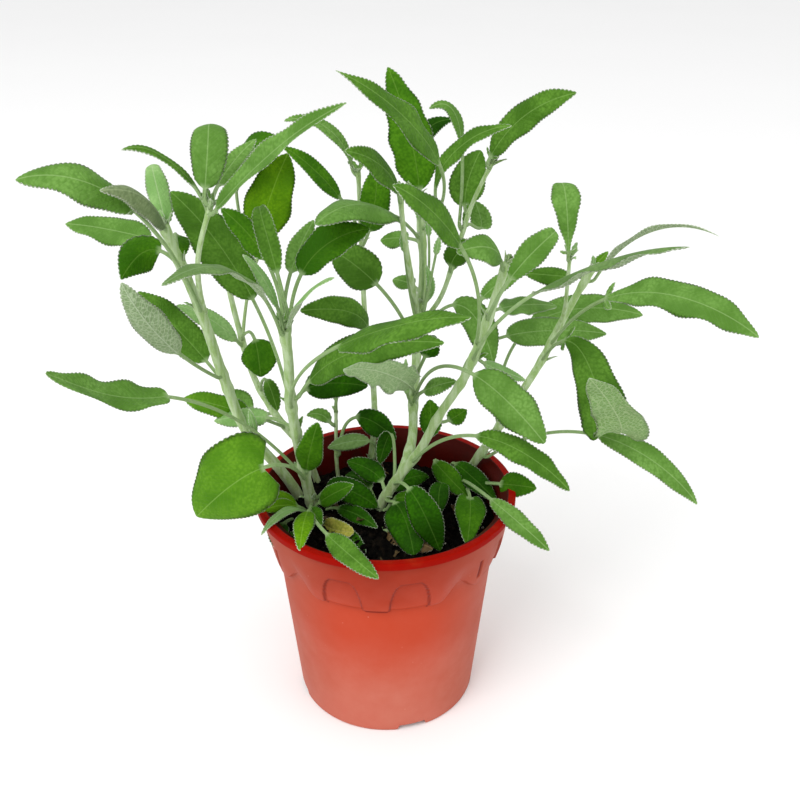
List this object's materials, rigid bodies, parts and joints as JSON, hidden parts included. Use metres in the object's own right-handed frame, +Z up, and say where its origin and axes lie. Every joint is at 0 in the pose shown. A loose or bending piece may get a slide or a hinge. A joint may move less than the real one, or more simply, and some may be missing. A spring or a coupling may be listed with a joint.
{
  "type": "potted herb",
  "caption": "Bushy culinary sage with downy stems and long veined leaves, growing in peat in a round tapered plastic nursery pot with a rolled rim.",
  "frame": {"origin": "middle of the pot's flat underside, on the surface it stands on", "axes": "+Z up, +X to the right, -Y towards the front"},
  "size_m": [0.3486, 0.2117, 0.35],
  "materials": {
    "pot": "satin",
    "soil": "matte",
    "stem": "matte",
    "leaf": "matte"
  },
  "bodies": {
    "root": {"leaf_back_1": "leaf", "leaf_back_2": "leaf", "leaf_back_3": "leaf", "leaf_back_4": "leaf", "leaf_back_left_top_1": "leaf", "leaf_centre_1": "leaf", "leaf_centre_2": "leaf", "leaf_centre_3": "leaf", "leaf_centre_4": "leaf", "leaf_centre_5": "leaf", "leaf_centre_6": "leaf", "leaf_centre_left_1": "leaf", "leaf_crown_right_1": "leaf", "leaf_crown_right_2": "leaf", "leaf_left_1": "leaf", "leaf_left_2": "leaf", "leaf_left_3": "leaf", "leaf_left_4": "leaf", "leaf_left_5": "leaf", "leaf_left_6": "leaf", "leaf_left_7": "leaf", "leaf_left_top_1": "leaf", "leaf_left_top_2": "leaf", "leaf_left_top_3": "leaf", "leaf_mid_left_1": "leaf", "leaf_mid_left_10": "leaf", "leaf_mid_left_11": "leaf", "leaf_mid_left_2": "leaf", "leaf_mid_left_3": "leaf", "leaf_mid_left_4": "leaf", "leaf_mid_left_5": "leaf", "leaf_mid_left_6": "leaf", "leaf_mid_left_7": "leaf", "leaf_mid_left_8": "leaf", "leaf_mid_left_9": "leaf", "leaf_middle_1": "leaf", "leaf_middle_2": "leaf", "leaf_middle_3": "leaf", "leaf_middle_4": "leaf", "leaf_middle_5": "leaf", "leaf_middle_6": "leaf", "leaf_middle_7": "leaf", "leaf_middle_8": "leaf", "leaf_right_1": "leaf", "leaf_right_2": "leaf", "leaf_right_3": "leaf", "leaf_right_4": "leaf", "leaf_right_5": "leaf", "leaf_right_6": "leaf", "leaf_right_top_1": "leaf", "leaf_shoot_1": "leaf", "pot": "pot", "soil": "soil", "stem_back": "stem", "stem_back_left": "stem", "stem_left": "stem", "stem_mid_left": "stem", "stem_middle": "stem", "stem_right": "stem", "stem_shoot": "stem"}
  },
  "joints": []
}
